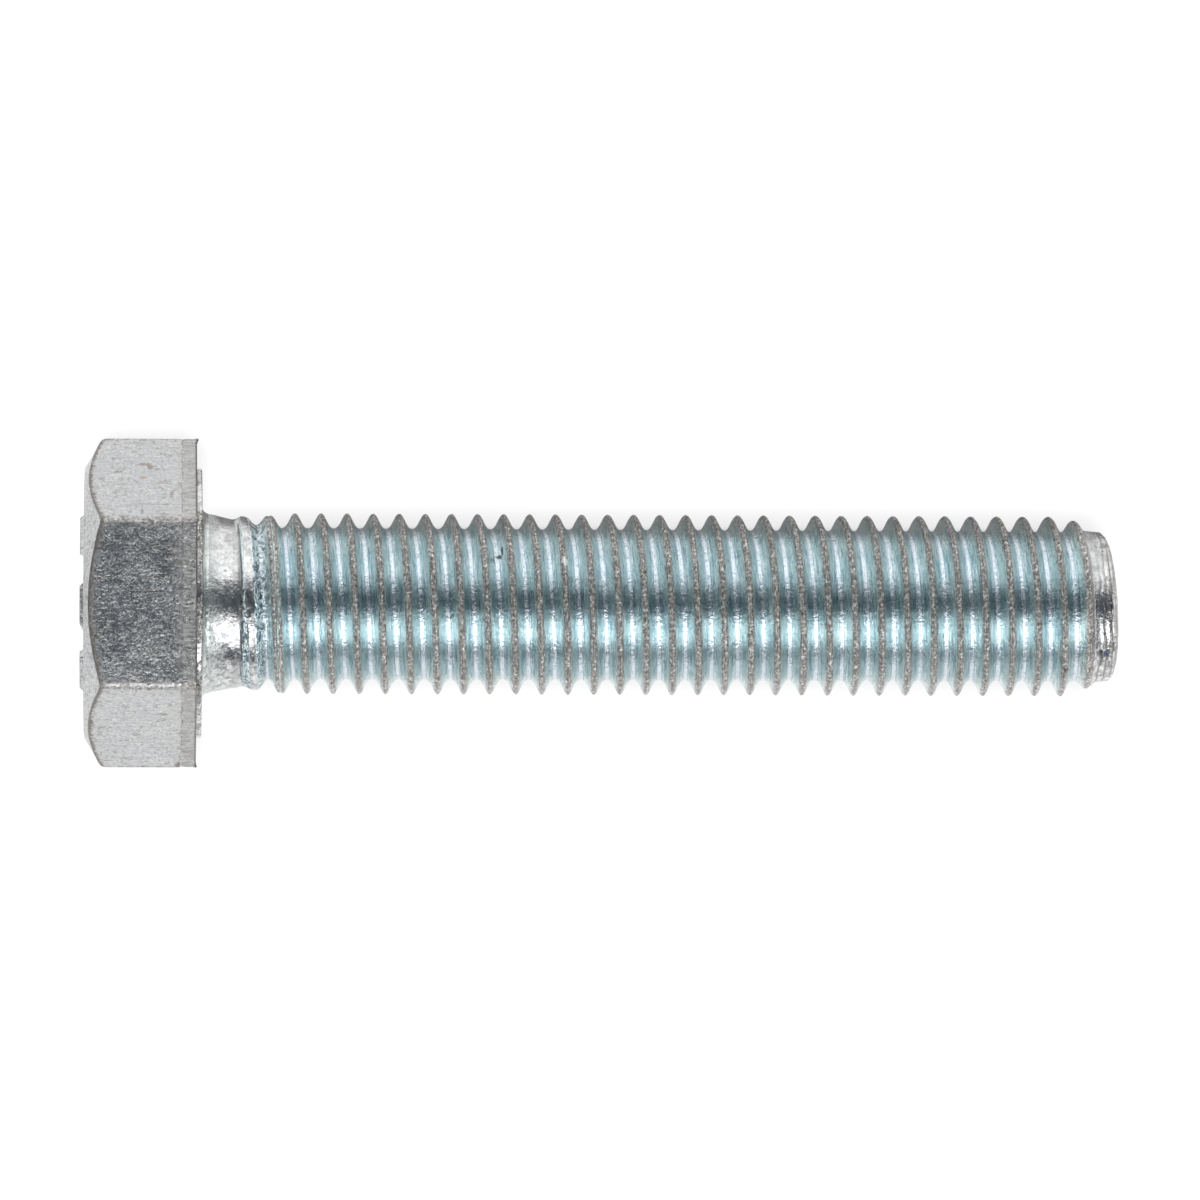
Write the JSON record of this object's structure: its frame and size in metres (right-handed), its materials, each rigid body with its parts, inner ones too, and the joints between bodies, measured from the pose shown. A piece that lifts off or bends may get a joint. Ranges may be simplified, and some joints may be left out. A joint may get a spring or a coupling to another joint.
{
  "type": "hex bolt",
  "caption": "One-piece steel hexagon head bolt with a washer face, a short neck and a right-hand coarse thread along the whole shank, blue zinc plated.",
  "frame": {"origin": "centre of the head's outer face, on the bolt's axis", "axes": "+X along the axis from the head to the thread's end; +Z and -Z through two flats of the hexagon; +Y and -Y through two of its corners"},
  "size_m": [0.0794, 0.0252, 0.022],
  "materials": {
    "blue_zinc": "zinc plated and blue passivated: teal glossy thread flanks, matt grey rolled crests, speckled silver head"
  },
  "bodies": {
    "root": {"hex_bolt": "blue_zinc"}
  },
  "joints": []
}
